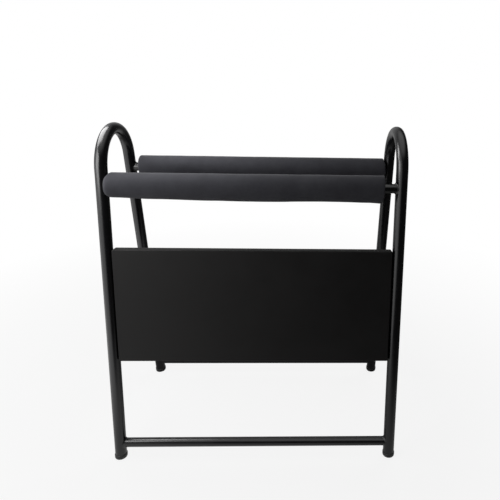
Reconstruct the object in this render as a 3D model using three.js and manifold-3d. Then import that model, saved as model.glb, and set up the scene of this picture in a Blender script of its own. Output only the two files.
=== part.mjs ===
// Racket display stand: two bent tube end frames joined by padded rails, crossbars and a front board.
// Millimetres, +Z up, front towards -Y, origin on the floor midway between the four feet.

import * as THREE from 'three';
import { mergeVertices } from 'three/addons/utils/BufferGeometryUtils.js';
import Module from 'manifold-3d';

const wasm = await Module();
wasm.setup();

// Overall form
const FRAME_SPACING = 464;
const LEG_SPLAY = THREE.MathUtils.degToRad(6.6);
const ARCH_RADIUS = 60;
const ARCH_APEX_HEIGHT = 549;
const CROSSBAR_HEIGHT = 26.5;

// Down the legs: from the end of the bend to the rails' axes, and from there to the board's top edge
const RAIL_BELOW_BEND = 25;
const BOARD_BELOW_RAIL = 101;

// Steel tube: the end frames are bent from the thicker one, rails and crossbars cut from the thinner
const FRAME_TUBE_RADIUS = 9.5;
const FRAME_TUBE_WALL = 1.2;
const CROSS_TUBE_RADIUS = 7.5;
const CROSS_TUBE_WALL = 1.2;

// Clearance between a piece and what it seats on, and how far a cutting tool runs past the stock
const SEAT_GAP = 0.3;
const CUT_OVERRUN = 5;

// Fillet welds round the ends of rails and crossbars
const WELD_LEG = 3;
const WELD_HOLLOW_SHARE = 0.3;

// Foam sleeves: each rail keeps a bare stretch, at the right in front and at the left behind
const SLEEVE_WALL = 13;
const SLEEVE_EDGE_RADIUS = 2;
const FRONT_BARE_LENGTH = 19;
const REAR_BARE_LENGTH = 10;

// Front board, hung between the front legs and slanted with them
const BOARD_HEIGHT = 190;
const BOARD_THICKNESS = 15;
const BOARD_SIDE_GAP = 0.8;
const BOARD_CORNER_RADIUS = 2.5;
const BOARD_EDGE_EASE = 0.8;

// Steel tabs welded to the front legs behind the board. The share is of the leg tube's radius
const TAB_SETBACK_SHARE = 0.7;
const TAB_REACH = 22;
const TAB_HEIGHT = 26;
const TAB_THICKNESS = 2.5;
const TAB_CORNER_RADIUS = 6;
const TAB_EDGE_DISTANCE = 38;
const TAB_HOLE_PLAY = 0.6;

// Pan-head screws and washers behind the tabs. The share is of the board's thickness
const SCREW_RADIUS = 2;
const SCREW_HEAD_RADIUS = 4;
const SCREW_HEAD_HEIGHT = 2.4;
const SCREW_BITE_SHARE = 0.72;
const PILOT_RUNOUT = 0.8;
const WASHER_RADIUS = 5;
const WASHER_THICKNESS = 1;

// Foot caps: ribbed plugs with a rounded head, pressed into the open lower ends of the legs
const CAP_HEAD_OVERHANG = 0.8;
const CAP_HEAD_HEIGHT = 7;
const CAP_HEAD_ROUND = 3.4;
const CAP_STEM_LENGTH = 15;
const CAP_STEM_WALL = 1.6;
const CAP_RIB_COUNT = 3;
const CAP_RIB_HEIGHT = 0.5;

// Facets
const TUBE_SEGMENTS = 24;
const ARCH_STEPS = 18;
const SLEEVE_SEGMENTS = 40;
const WELD_STATIONS = 28;
const CAP_SEGMENTS = 20;
const SMALL_SEGMENTS = 16;
const ROUND_STEPS = 4;

// Worked out from the sizes above
const ARCH_CENTRE_HEIGHT = ARCH_APEX_HEIGHT - ARCH_RADIUS;
const FOOT_REACH = ARCH_RADIUS / Math.cos(LEG_SPLAY) + ARCH_CENTRE_HEIGHT * Math.tan(LEG_SPLAY);
const LEG_RUN = ARCH_CENTRE_HEIGHT / Math.cos(LEG_SPLAY) + ARCH_RADIUS * Math.tan(LEG_SPLAY);
const CLEAR_SPAN = FRAME_SPACING - 2 * (FRAME_TUBE_RADIUS + SEAT_GAP);
const BOARD_WIDTH = FRAME_SPACING - 2 * (FRAME_TUBE_RADIUS + BOARD_SIDE_GAP);
const BOARD_BACK = TAB_SETBACK_SHARE * FRAME_TUBE_RADIUS;
const TAB_FRONT = BOARD_BACK + SEAT_GAP;
const TAB_BACK = TAB_FRONT + TAB_THICKNESS;
const WASHER_BACK = TAB_BACK + SEAT_GAP + WASHER_THICKNESS;
const SCREW_FROM_LEG = FRAME_TUBE_RADIUS + TAB_REACH / 2;

// Distances up the legs from the floor, along their axes
const CROSSBAR_UP = CROSSBAR_HEIGHT / Math.cos(LEG_SPLAY);
const RAIL_UP = LEG_RUN - RAIL_BELOW_BEND;
const BOARD_UP = RAIL_UP - BOARD_BELOW_RAIL - BOARD_HEIGHT / 2;

const FRONT = -1;
const REAR = 1;
const LEFT = -1;
const RIGHT = 1;

const MATERIALS = {
  powderCoat: new THREE.MeshStandardMaterial({ color: 0x17171a, roughness: 0.42, metalness: 0.3 }),
  foam: new THREE.MeshStandardMaterial({ color: 0x3b3c43, roughness: 0.95, metalness: 0 }),
  board: new THREE.MeshStandardMaterial({ color: 0x1f1e1e, roughness: 0.6, metalness: 0 }),
  cap: new THREE.MeshStandardMaterial({ color: 0x121212, roughness: 0.55, metalness: 0 }),
  zinc: new THREE.MeshStandardMaterial({ color: 0x9a9a96, roughness: 0.35, metalness: 0.9 }),
};

// Closed mesh to solid, for cutting
function toSolid(geometry) {
  const bare = geometry.clone();
  bare.deleteAttribute('normal');
  bare.deleteAttribute('uv');
  const merged = mergeVertices(bare);
  const mesh = new wasm.Mesh({
    numProp: 3,
    vertProperties: new Float32Array(merged.attributes.position.array),
    triVerts: new Uint32Array(merged.index.array),
  });
  return new wasm.Manifold(mesh);
}

// Solid back to a mesh
function toGeometry(solid) {
  const mesh = solid.getMesh();
  const geometry = new THREE.BufferGeometry();
  geometry.setAttribute('position', new THREE.BufferAttribute(new Float32Array(mesh.vertProperties), 3));
  geometry.setIndex(new THREE.BufferAttribute(new Uint32Array(mesh.triVerts), 1));
  geometry.computeVertexNormals();
  return geometry;
}

function cut(geometry, cutters) {
  const solid = cutters.reduce((rest, cutter) => rest.subtract(toSolid(cutter)), toSolid(geometry));
  return toGeometry(solid);
}

// Ring-shaped cross-section of a tube
function tubeSection(radius, wall) {
  const section = new THREE.Shape().absarc(0, 0, radius, 0, 2 * Math.PI);
  section.holes.push(new THREE.Path().absarc(0, 0, radius - wall, 0, 2 * Math.PI, true));
  return section;
}

// Centreline of an end frame in the YZ plane: up the front leg, round the arch and down the rear leg.
// Its parameter gives each straight leg one step and shares the others round the bend.
class EndFrameLine extends THREE.Curve {
  constructor(footStart) {
    super();
    this.straight = LEG_RUN - footStart;
  }

  locate(t) {
    const step = t * (ARCH_STEPS + 2);
    const bend = THREE.MathUtils.clamp((step - 1) / ARCH_STEPS, 0, 1);
    const angle = THREE.MathUtils.lerp(Math.PI - LEG_SPLAY, LEG_SPLAY, bend);
    const outer = new THREE.Vector3(0, Math.cos(angle), Math.sin(angle));
    const tangent = new THREE.Vector3(0, outer.z, -outer.y);
    const beyond = step < 1 ? step - 1 : Math.max(step - 1 - ARCH_STEPS, 0);
    const point = outer.multiplyScalar(ARCH_RADIUS).addScaledVector(tangent, beyond * this.straight);
    point.z += ARCH_CENTRE_HEIGHT;
    return { point, tangent };
  }

  getPoint(t) {
    return this.locate(t).point;
  }

  getPointAt(u) {
    return this.locate(u).point;
  }

  getTangentAt(u) {
    return this.locate(u).tangent;
  }
}

// Inverted U of hollow tube, cut square above the foot caps
function endFrameGeometry() {
  return new THREE.ExtrudeGeometry(tubeSection(FRAME_TUBE_RADIUS, FRAME_TUBE_WALL), {
    curveSegments: TUBE_SEGMENTS / 2,
    steps: ARCH_STEPS + 2,
    extrudePath: new EndFrameLine(CAP_HEAD_HEIGHT + SEAT_GAP),
  });
}

// Upright cylinder that stands for a leg in its own plane, grown by the seating gap
function legCutter(x, length) {
  const radius = FRAME_TUBE_RADIUS + SEAT_GAP;
  const cutter = new THREE.CylinderGeometry(radius, radius, length, TUBE_SEGMENTS);
  return cutter.rotateX(Math.PI / 2).translate(x, 0, 0);
}

// Hollow tube along X, with both ends coped to the round of the legs
function crossTubeGeometry() {
  const stock = new THREE.ExtrudeGeometry(tubeSection(CROSS_TUBE_RADIUS, CROSS_TUBE_WALL), {
    curveSegments: TUBE_SEGMENTS / 2,
    depth: FRAME_SPACING,
    bevelEnabled: false,
  });
  stock.rotateY(Math.PI / 2).translate(-FRAME_SPACING / 2, 0, 0);
  const length = 2 * (CROSS_TUBE_RADIUS + CUT_OVERRUN);
  return cut(stock, [LEFT, RIGHT].map((side) => legCutter(side * FRAME_SPACING / 2, length)));
}

// Fillet weld round a cross tube's end, on the leg at the origin, with the cross tube running along +X.
// Each station is a hollow triangle: root in the corner, one toe on the cross tube and one on the leg.
// On a cross tube as wide as the leg, the root keeps to the leg's widest line.
function weldGeometry() {
  const legRadius = FRAME_TUBE_RADIUS + SEAT_GAP;
  const tubeRadius = CROSS_TUBE_RADIUS + SEAT_GAP;
  const onLeg = (turn, height) => [legRadius * Math.cos(turn), legRadius * Math.sin(turn), height];
  const points = [];
  for (let station = 0; station < WELD_STATIONS; station += 1) {
    const around = 2 * Math.PI * station / WELD_STATIONS;
    const sidewaysShare = THREE.MathUtils.clamp(tubeRadius * Math.sin(around) / legRadius, -1, 1);
    const turn = Math.asin(sidewaysShare);
    const height = tubeRadius * Math.cos(around);
    const spread = 1 + WELD_LEG / Math.hypot(legRadius * turn, height);
    const root = new THREE.Vector3(...onLeg(turn, height));
    const legToe = new THREE.Vector3(...onLeg(turn * spread, height * spread));
    const tubeToe = root.clone().setX(root.x + WELD_LEG);
    const face = legToe.clone().lerp(tubeToe, 1 / 2).lerp(root, WELD_HOLLOW_SHARE);
    points.push(root, tubeToe, face, legToe);
  }
  return loft(points, WELD_STATIONS);
}

// Closed ring through equal sections of points
function loft(points, stations) {
  const size = points.length / stations;
  const index = [];
  for (let station = 0; station < stations; station += 1) {
    const next = (station + 1) % stations;
    for (let corner = 0; corner < size; corner += 1) {
      const along = (corner + 1) % size;
      const [a, b] = [station * size + corner, station * size + along];
      const [c, d] = [next * size + corner, next * size + along];
      index.push(a, c, b, b, c, d);
    }
  }
  const geometry = new THREE.BufferGeometry().setFromPoints(points);
  geometry.setIndex(index);
  geometry.computeVertexNormals();
  return geometry;
}

// Points of a rounded corner of a revolved profile, from one angle to another
function roundPoints(x, y, radius, from, to) {
  return Array.from({ length: ROUND_STEPS + 1 }, (_, step) => {
    const angle = THREE.MathUtils.lerp(from, to, step / ROUND_STEPS);
    return new THREE.Vector2(x + radius * Math.cos(angle), y + radius * Math.sin(angle));
  });
}

// Foam sleeve along X: rounded outer edges, and a bore that flares at both ends over the weld beads
function sleeveGeometry(length) {
  const bore = CROSS_TUBE_RADIUS + SEAT_GAP;
  const outer = CROSS_TUBE_RADIUS + SLEEVE_WALL;
  const flare = WELD_LEG + SEAT_GAP;
  const half = length / 2;
  const round = SLEEVE_EDGE_RADIUS;
  const profile = [
    new THREE.Vector2(bore, flare - half),
    new THREE.Vector2(bore + flare, -half),
    ...roundPoints(outer - round, round - half, round, -Math.PI / 2, 0),
    ...roundPoints(outer - round, half - round, round, 0, Math.PI / 2),
    new THREE.Vector2(bore + flare, half),
    new THREE.Vector2(bore, half - flare),
    new THREE.Vector2(bore, flare - half),
  ];
  return new THREE.LatheGeometry(profile, SLEEVE_SEGMENTS).rotateZ(-Math.PI / 2);
}

// Rectangle with its corners rounded, centred on the origin
function roundedRectangle(width, height, radius) {
  const [x, y] = [width / 2 - radius, height / 2 - radius];
  return new THREE.Shape()
    .absarc(x, y, radius, 0, Math.PI / 2)
    .absarc(-x, y, radius, Math.PI / 2, Math.PI)
    .absarc(-x, -y, radius, Math.PI, 3 * Math.PI / 2)
    .absarc(x, -y, radius, 3 * Math.PI / 2, 2 * Math.PI);
}

// Centres of the four tabs and screws in the front leg plane, from the board's centre
function tabPlaces() {
  const across = FRAME_SPACING / 2;
  const up = BOARD_HEIGHT / 2 - TAB_EDGE_DISTANCE;
  return [
    { name: 'upper_left', side: LEFT, x: -across, z: up },
    { name: 'upper_right', side: RIGHT, x: across, z: up },
    { name: 'lower_left', side: LEFT, x: -across, z: -up },
    { name: 'lower_right', side: RIGHT, x: across, z: -up },
  ];
}

// Board with eased edges, its back at y = 0, and four pilot holes drilled from behind
function boardGeometry() {
  const outline = roundedRectangle(BOARD_WIDTH, BOARD_HEIGHT, BOARD_CORNER_RADIUS);
  const blank = new THREE.ExtrudeGeometry(outline, {
    curveSegments: ROUND_STEPS / 2,
    depth: BOARD_THICKNESS - 2 * BOARD_EDGE_EASE,
    bevelSize: BOARD_EDGE_EASE,
    bevelThickness: BOARD_EDGE_EASE,
    bevelOffset: -BOARD_EDGE_EASE,
    bevelSegments: 1,
  });
  blank.rotateX(Math.PI / 2).translate(0, -BOARD_EDGE_EASE, 0);
  const depth = SCREW_BITE_SHARE * BOARD_THICKNESS + PILOT_RUNOUT;
  const radius = SCREW_RADIUS + SEAT_GAP;
  const pilots = tabPlaces().map(({ side, x, z }) => {
    const drill = new THREE.CylinderGeometry(radius, radius, depth + CUT_OVERRUN, SMALL_SEGMENTS);
    return drill.translate(x - side * SCREW_FROM_LEG, (CUT_OVERRUN - depth) / 2, z);
  });
  return cut(blank, pilots);
}

// Tab of the left leg: a drilled plate with a rounded free end, coped to the leg at x = 0
function tabGeometry() {
  const reach = FRAME_TUBE_RADIUS + TAB_REACH;
  const [half, round] = [TAB_HEIGHT / 2, TAB_CORNER_RADIUS];
  const outline = new THREE.Shape()
    .moveTo(0, half)
    .lineTo(0, -half)
    .absarc(reach - round, round - half, round, -Math.PI / 2, 0)
    .absarc(reach - round, half - round, round, 0, Math.PI / 2);
  const hole = new THREE.Path();
  hole.absarc(SCREW_FROM_LEG, 0, SCREW_RADIUS + TAB_HOLE_PLAY, 0, 2 * Math.PI, true);
  outline.holes.push(hole);
  const plate = new THREE.ExtrudeGeometry(outline, {
    curveSegments: SMALL_SEGMENTS / 2,
    depth: TAB_THICKNESS,
    bevelEnabled: false,
  });
  plate.rotateX(Math.PI / 2).translate(0, TAB_BACK, 0);
  return cut(plate, [legCutter(0, TAB_HEIGHT + 2 * CUT_OVERRUN)]);
}

// Pan-head screw along Y, its head's seat at y = 0 and its point towards -Y
function screwGeometry() {
  const bite = SCREW_BITE_SHARE * BOARD_THICKNESS;
  const length = bite + SEAT_GAP + WASHER_BACK - BOARD_BACK;
  const profile = [
    new THREE.Vector2(0, -length),
    new THREE.Vector2(SCREW_RADIUS, SCREW_RADIUS - length),
    new THREE.Vector2(SCREW_RADIUS, 0),
    new THREE.Vector2(SCREW_HEAD_RADIUS, 0),
    new THREE.Vector2(SCREW_HEAD_RADIUS, SCREW_HEAD_HEIGHT / 3),
    new THREE.Vector2(SCREW_HEAD_RADIUS / 2, SCREW_HEAD_HEIGHT),
    new THREE.Vector2(0, SCREW_HEAD_HEIGHT),
  ];
  return new THREE.LatheGeometry(profile, SMALL_SEGMENTS);
}

// Flat washer round Y, its front face at y = 0
function washerGeometry() {
  const bore = SCREW_RADIUS + SEAT_GAP;
  const profile = [
    new THREE.Vector2(bore, 0),
    new THREE.Vector2(WASHER_RADIUS, 0),
    new THREE.Vector2(WASHER_RADIUS, WASHER_THICKNESS),
    new THREE.Vector2(bore, WASHER_THICKNESS),
    new THREE.Vector2(bore, 0),
  ];
  return new THREE.LatheGeometry(profile, SMALL_SEGMENTS);
}

// Stem of a foot cap above the tube's end: a cup wall with ribs that widen downwards
function capStemPoints(rim) {
  const bore = FRAME_TUBE_RADIUS - FRAME_TUBE_WALL;
  const rib = bore - SEAT_GAP;
  const core = rib - CAP_RIB_HEIGHT;
  const pitch = CAP_STEM_LENGTH / (CAP_RIB_COUNT + 1);
  const points = [new THREE.Vector2(core - CAP_STEM_WALL, rim), new THREE.Vector2(core, rim)];
  for (let number = CAP_RIB_COUNT; number > 0; number -= 1) {
    const base = rim - CAP_STEM_LENGTH + number * pitch;
    points.push(new THREE.Vector2(core, base + pitch / 2), new THREE.Vector2(rib, base));
    points.push(new THREE.Vector2(core, base));
  }
  return points;
}

// Foot cap of a front leg, round the leg's axis, its sole cut flat along the floor
function capGeometry() {
  const outer = FRAME_TUBE_RADIUS + CAP_HEAD_OVERHANG;
  const round = CAP_HEAD_ROUND;
  const head = CAP_HEAD_HEIGHT;
  const sink = outer * Math.tan(LEG_SPLAY);
  const rim = head + CAP_STEM_LENGTH;
  const stem = capStemPoints(rim);
  const cup = stem[0].x;
  const core = stem[1].x;
  const floorOfCup = head - CAP_STEM_WALL;
  const profile = [
    new THREE.Vector2(0, -sink),
    ...roundPoints(outer - round, round - sink, round, -Math.PI / 2, 0),
    new THREE.Vector2(outer, head - CAP_HEAD_OVERHANG),
    new THREE.Vector2(outer - CAP_HEAD_OVERHANG, head),
    new THREE.Vector2(core, head),
    ...stem.slice(1).reverse(),
    stem[0],
    new THREE.Vector2(cup, floorOfCup),
    new THREE.Vector2(0, floorOfCup),
  ];
  const turned = new THREE.LatheGeometry(profile, CAP_SEGMENTS).rotateX(Math.PI / 2);
  const span = 2 * (outer + CUT_OVERRUN);
  const floor = new THREE.BoxGeometry(span, span, span).translate(0, 0, -span / 2).rotateX(LEG_SPLAY);
  return cut(turned, [floor]);
}

function piece(name, geometry, material, x = 0, y = 0, z = 0) {
  const mesh = new THREE.Mesh(geometry, material);
  mesh.name = name;
  mesh.position.set(x, y, z);
  return mesh;
}

// Group whose Z axis runs up the legs of one face of the stand, from the floor
function legPlane(face) {
  const plane = new THREE.Group();
  plane.position.y = face * FOOT_REACH;
  plane.rotation.x = face * LEG_SPLAY;
  return plane;
}

// Rail, crossbar and their weld beads, alike on both faces
function addCrossTubes(plane, face, tube, weld) {
  const end = face === FRONT ? 'front' : 'rear';
  const levels = [['top_rail', RAIL_UP], ['lower_crossbar', CROSSBAR_UP]];
  for (const [level, up] of levels) {
    plane.add(piece(`${end}_${level}`, tube, MATERIALS.powderCoat, 0, 0, up));
    for (const side of [LEFT, RIGHT]) {
      const name = `weld_${end}_${level}_${side === LEFT ? 'left' : 'right'}`;
      const bead = piece(name, weld, MATERIALS.powderCoat, side * FRAME_SPACING / 2, 0, up);
      bead.rotation.z = side === LEFT ? 0 : Math.PI;
      plane.add(bead);
    }
  }
}

// Foam sleeve, pushed along its rail to the leg on one side
function addSleeve(plane, name, side, bare) {
  const length = CLEAR_SPAN - bare;
  plane.add(piece(name, sleeveGeometry(length), MATERIALS.foam, side * bare / 2, 0, RAIL_UP));
}

// Foot caps of one face. The floor cut is turned to face the other way on the rear legs
function addCaps(plane, face, cap) {
  for (const side of [LEFT, RIGHT]) {
    const name = `foot_cap_${face === FRONT ? 'front' : 'rear'}_${side === LEFT ? 'left' : 'right'}`;
    const foot = piece(name, cap, MATERIALS.cap, side * FRAME_SPACING / 2, 0, 0);
    foot.rotation.z = face === FRONT ? 0 : Math.PI;
    plane.add(foot);
  }
}

// Board with the tabs, washers and screws behind it
function addBoard(plane) {
  const [tab, washer, screw] = [tabGeometry(), washerGeometry(), screwGeometry()];
  plane.add(piece('front_board', boardGeometry(), MATERIALS.board, 0, BOARD_BACK, BOARD_UP));
  for (const { name, side, x, z } of tabPlaces()) {
    const plate = piece(`board_tab_${name}`, tab, MATERIALS.powderCoat, x, 0, BOARD_UP + z);
    plate.rotation.y = side === LEFT ? 0 : Math.PI;
    plane.add(plate);
    const [across, up] = [x - side * SCREW_FROM_LEG, BOARD_UP + z];
    plane.add(piece(`board_washer_${name}`, washer, MATERIALS.zinc, across, TAB_BACK + SEAT_GAP, up));
    plane.add(piece(`board_screw_${name}`, screw, MATERIALS.zinc, across, WASHER_BACK + SEAT_GAP, up));
  }
}

function racketStand() {
  const stand = new THREE.Group();
  const frame = endFrameGeometry();
  stand.add(piece('left_end_frame', frame, MATERIALS.powderCoat, -FRAME_SPACING / 2));
  stand.add(piece('right_end_frame', frame, MATERIALS.powderCoat, FRAME_SPACING / 2));
  const [tube, weld, cap] = [crossTubeGeometry(), weldGeometry(), capGeometry()];
  const planes = new Map([FRONT, REAR].map((face) => [face, legPlane(face)]));
  for (const [face, plane] of planes) {
    addCrossTubes(plane, face, tube, weld);
    addCaps(plane, face, cap);
    stand.add(plane);
  }
  addSleeve(planes.get(FRONT), 'front_foam_sleeve', LEFT, FRONT_BARE_LENGTH);
  addSleeve(planes.get(REAR), 'rear_foam_sleeve', RIGHT, REAR_BARE_LENGTH);
  addBoard(planes.get(FRONT));
  return stand;
}

export default racketStand();
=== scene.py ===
"""Racket display stand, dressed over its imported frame.

Two bent tube end frames carry foam-padded rails, bare crossbars and a plain board. Everything is in metres
with +Z up, the front of the stand faces -Y, and the floor is at zero.
"""

import logging
import math
from collections.abc import Callable, Iterator, Sequence
from contextlib import contextmanager
from dataclasses import dataclass
from enum import Enum

import bmesh
import bpy
from mathutils import Matrix, Vector


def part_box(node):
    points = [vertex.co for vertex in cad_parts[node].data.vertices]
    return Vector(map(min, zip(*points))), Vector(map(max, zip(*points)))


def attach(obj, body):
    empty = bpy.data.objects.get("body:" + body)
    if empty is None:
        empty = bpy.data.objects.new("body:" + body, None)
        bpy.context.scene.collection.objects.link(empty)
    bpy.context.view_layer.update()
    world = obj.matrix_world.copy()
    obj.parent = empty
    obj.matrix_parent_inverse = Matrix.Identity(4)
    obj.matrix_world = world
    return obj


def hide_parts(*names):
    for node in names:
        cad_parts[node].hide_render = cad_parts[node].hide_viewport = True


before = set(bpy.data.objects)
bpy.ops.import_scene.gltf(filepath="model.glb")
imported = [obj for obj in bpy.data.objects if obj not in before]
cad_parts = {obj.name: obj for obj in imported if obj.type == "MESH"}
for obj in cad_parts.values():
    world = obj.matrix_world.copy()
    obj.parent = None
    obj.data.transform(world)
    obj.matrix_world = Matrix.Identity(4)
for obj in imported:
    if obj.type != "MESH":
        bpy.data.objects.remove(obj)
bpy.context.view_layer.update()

BODY = "root"
MM = 0.001
HAIR = MM / 100
TUBE_WALL = 1.2 * MM
RANGE_INPUTS = ("Value", "From Min", "From Max", "To Min", "To Max")
LOG = logging.getLogger("racket_stand")

Piece = bpy.types.Object
Material = bpy.types.Material
Tree = bpy.types.NodeTree
Socket = bpy.types.NodeSocket
Inputs = dict[str | int, object]
Pair = tuple[float, float]
Tones = tuple[str, str]
Fixed = tuple[tuple[str, float], ...]
Profile = Sequence[Pair]
Spot = tuple[float, float, float]


class NodeWord(Enum):
    """A choice whose name is a word in its nodes' names."""

    @property
    def word(self) -> str:
        """The word in a node's name."""
        return self.name.lower()


class Face(NodeWord):
    """The two slanted planes that the legs lie in."""

    FRONT = -1
    REAR = 1


class Side(NodeWord):
    """The two ends of the stand, as seen from the front."""

    LEFT = -1
    RIGHT = 1


class Part(Enum):
    """What is picked in edit mode, by Blender's name for it."""

    POINT = "VERT"
    EDGE = "EDGE"
    FACE = "FACE"


class Slot(Enum):
    """The material slots."""

    POWDER_COAT = "powder_coat"
    FOAM = "foam"
    BOARD = "board"
    CAP = "cap_plastic"
    ZINC = "zinc"


# Places read off the frame


def cross_tubes() -> Iterator[tuple[Face, str]]:
    """Gives each cross tube's leg plane and node."""
    return ((face, f"{face.word}_{level}") for face in Face for level in ("top_rail", "lower_crossbar"))


@dataclass(frozen=True)
class Extent:
    """Lowest and highest corner of a node in some plane's own coordinates."""

    low: Vector
    high: Vector

    @property
    def size(self) -> Vector:
        """Length along each axis."""
        return self.high - self.low

    @property
    def centre(self) -> Vector:
        """Middle of the box."""
        return (self.high + self.low) / 2


@dataclass(frozen=True)
class StandLines:
    """The lines that the stand is drawn on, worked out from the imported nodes."""

    spacing: float
    tube_radius: float
    splay: float
    foot_reach: float
    arch_radius: float
    arch_centre: float

    @classmethod
    def from_frame(cls) -> "StandLines":
        """Reads spacing, splay and bend off the end frames, the front rail and the front crossbar.

        Returns:
            The stand's lines in metres and radians.
        """
        left_low, left_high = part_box("left_end_frame")
        right_low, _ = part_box("right_end_frame")
        rail = sum(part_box("front_top_rail"), Vector((0, 0, 0))) / 2
        crossbar = sum(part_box("front_lower_crossbar"), Vector((0, 0, 0))) / 2
        radius = (left_high.x - left_low.x) / 2
        splay = math.atan2(rail.y - crossbar.y, rail.z - crossbar.z)
        reach = crossbar.z * math.tan(splay) - crossbar.y
        apex = left_high.z - radius
        bend = (reach - apex * math.tan(splay)) / (1 / math.cos(splay) - math.tan(splay))
        return cls(right_low.x - left_low.x, radius, splay, reach, bend, apex - bend)

    @property
    def leg_run(self) -> float:
        """Length of a leg from the floor to the start of the bend."""
        return self.arch_centre / math.cos(self.splay) + self.arch_radius * math.tan(self.splay)

    def leg_axis(self, side: Side) -> float:
        """X of the legs of one end."""
        return side.value * self.spacing / 2

    def plane(self, face: Face) -> Matrix:
        """Frame of one leg plane: X across, Z up the legs, and the origin on the floor between the feet."""
        turn = Matrix.Rotation(face.value * self.splay, 4, "X")
        return Matrix.Translation((0, face.value * self.foot_reach, 0)) @ turn

    def extent(self, node: str, face: Face) -> Extent:
        """Measures a node in the coordinates of one leg plane.

        Args:
            node: the node's name.
            face: the plane it lies in.

        Returns:
            Its lowest and highest corner there.
        """
        inward = self.plane(face).inverted()
        points = [inward @ vertex.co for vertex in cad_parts[node].data.vertices]
        low = Vector([min(point[axis] for point in points) for axis in range(3)])
        high = Vector([max(point[axis] for point in points) for axis in range(3)])
        return Extent(low, high)


# Modelling steps


def start_clean() -> None:
    """Leaves nothing selected, so that the next operator acts on new work alone."""
    bpy.ops.object.select_all(action="DESELECT")


def take_up(piece: Piece) -> None:
    """Selects one piece alone and makes it the active one.

    Args:
        piece: the piece that the next operator acts on.
    """
    start_clean()
    piece.select_set(True)
    bpy.context.view_layer.objects.active = piece


def named(name: str) -> Piece:
    """Names the primitive that was just added and sets its place into its mesh.

    Args:
        name: the piece's name.

    Returns:
        The piece, at the origin.
    """
    piece = bpy.context.object
    piece.name = piece.data.name = name
    bpy.ops.object.transform_apply(location=True, rotation=True, scale=True)
    return piece


@contextmanager
def editing(piece: Piece) -> Iterator[None]:
    """Edit mode on one piece with all of it selected, left again at the end.

    Args:
        piece: the piece to edit.

    Yields:
        Nothing.
    """
    take_up(piece)
    bpy.ops.object.mode_set(mode="EDIT")
    bpy.ops.mesh.select_mode(type=Part.POINT.value)
    bpy.ops.mesh.select_all(action="SELECT")
    yield
    bpy.ops.object.mode_set(mode="OBJECT")


def pick(piece: Piece, part: Part, wanted: Callable[..., bool]) -> None:
    """Selects, in edit mode, just the points, edges or faces that pass a test.

    Args:
        piece: the piece being edited.
        part: which of them are picked. Points bring the edges between them.
        wanted: says whether one of them is wanted.
    """
    bpy.ops.mesh.select_mode(type=part.value)
    bpy.ops.mesh.select_all(action="DESELECT")
    mesh = bmesh.from_edit_mesh(piece.data)
    for found in getattr(mesh, f"{part.value.lower()}s"):
        found.select_set(wanted(found))
    if part is Part.POINT:
        mesh.select_flush(True)
    bmesh.update_edit_mesh(piece.data)


def draw_out(step: Sequence[float]) -> None:
    """Extrudes what is selected along a step."""
    bpy.ops.mesh.extrude_region_move(TRANSFORM_OT_translate={"value": step})


def face_outwards() -> None:
    """Turns all faces of the piece being edited outwards."""
    bpy.ops.mesh.select_all(action="SELECT")
    bpy.ops.mesh.normals_make_consistent(inside=False)


def turned(name: str, profile: Profile, segments: int, ring: bool = False) -> Piece:
    """Draws a round form out of a circle, ring by ring along the Z axis.

    Args:
        name: the piece's name.
        profile: radius and height of each ring. A radius of zero closes an end at a pole.
        segments: edges round the form.
        ring: True joins the last ring to the first, as in a washer or a sleeve.

    Returns:
        The piece.
    """
    stations = [station for station in profile if station[0] > 0]
    radius, height = stations[0]
    fill = "TRIFAN" if profile[0][0] == 0 else "NOTHING"
    start_clean()
    bpy.ops.mesh.primitive_circle_add(
        vertices=segments, radius=radius, fill_type=fill, location=(0, 0, height)
    )
    piece = named(name)
    with editing(piece):
        pick(piece, Part.POINT, lambda point: point.co.xy.length > stations[0][0] / 2)
        for wider, higher in stations[1:]:
            draw_out((0, 0, higher - height))
            share = wider / radius
            bpy.ops.transform.resize(value=(share, share, 1), center_override=(0, 0, higher))
            radius, height = wider, higher
        if profile[-1][0] == 0:
            draw_out((0, 0, profile[-1][1] - height))
            bpy.ops.mesh.merge(type="CENTER")
        if ring:
            ends = (stations[0], stations[-1])
            pick(piece, Part.POINT, lambda point: any(on_ring(point.co, station) for station in ends))
            bpy.ops.mesh.bridge_edge_loops()
        face_outwards()
    return piece


def on_ring(spot: Vector, station: Pair) -> bool:
    """Says whether a vertex lies on a ring of one radius and height."""
    return abs(math.hypot(spot.x, spot.y) - station[0]) < HAIR and abs(spot.z - station[1]) < HAIR


def rounded(centre: Pair, radius: float, start: float, end: float, steps: int) -> Profile:
    """Stations of a rounded edge.

    Args:
        centre: radius and height of the rounding's own centre.
        radius: the rounding.
        start: first angle in degrees, zero pointing outwards and 90 upwards.
        end: last angle in degrees.
        steps: parts that the rounding is split into.

    Returns:
        The stations from the first angle to the last.
    """
    turns = [math.radians(start + (end - start) * step / steps) for step in range(steps + 1)]
    return [(centre[0] + radius * math.cos(turn), centre[1] + radius * math.sin(turn)) for turn in turns]


def eased(share: float) -> float:
    """Turns an even rise from 0 to 1 into one that starts and ends softly."""
    return share * share * (3 - 2 * share)


def apply_modifier(piece: Piece, kind: str, **settings: object) -> None:
    """Adds a modifier to a piece and applies it.

    Args:
        piece: the piece.
        kind: Blender's name for the modifier.
        **settings: its values.
    """
    modifier = piece.modifiers.new(kind.lower(), kind)
    for key, value in settings.items():
        setattr(modifier, key, value)
    take_up(piece)
    bpy.ops.object.modifier_apply(modifier=modifier.name)


def cut_away(piece: Piece, cutters: Sequence[Piece]) -> None:
    """Cuts closed forms out of a piece and throws them away.

    Args:
        piece: the piece that is cut.
        cutters: what is taken out of it.
    """
    for cutter in cutters:
        apply_modifier(piece, "BOOLEAN", operation="DIFFERENCE", solver="EXACT", object=cutter)
        bpy.data.objects.remove(cutter)


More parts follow.
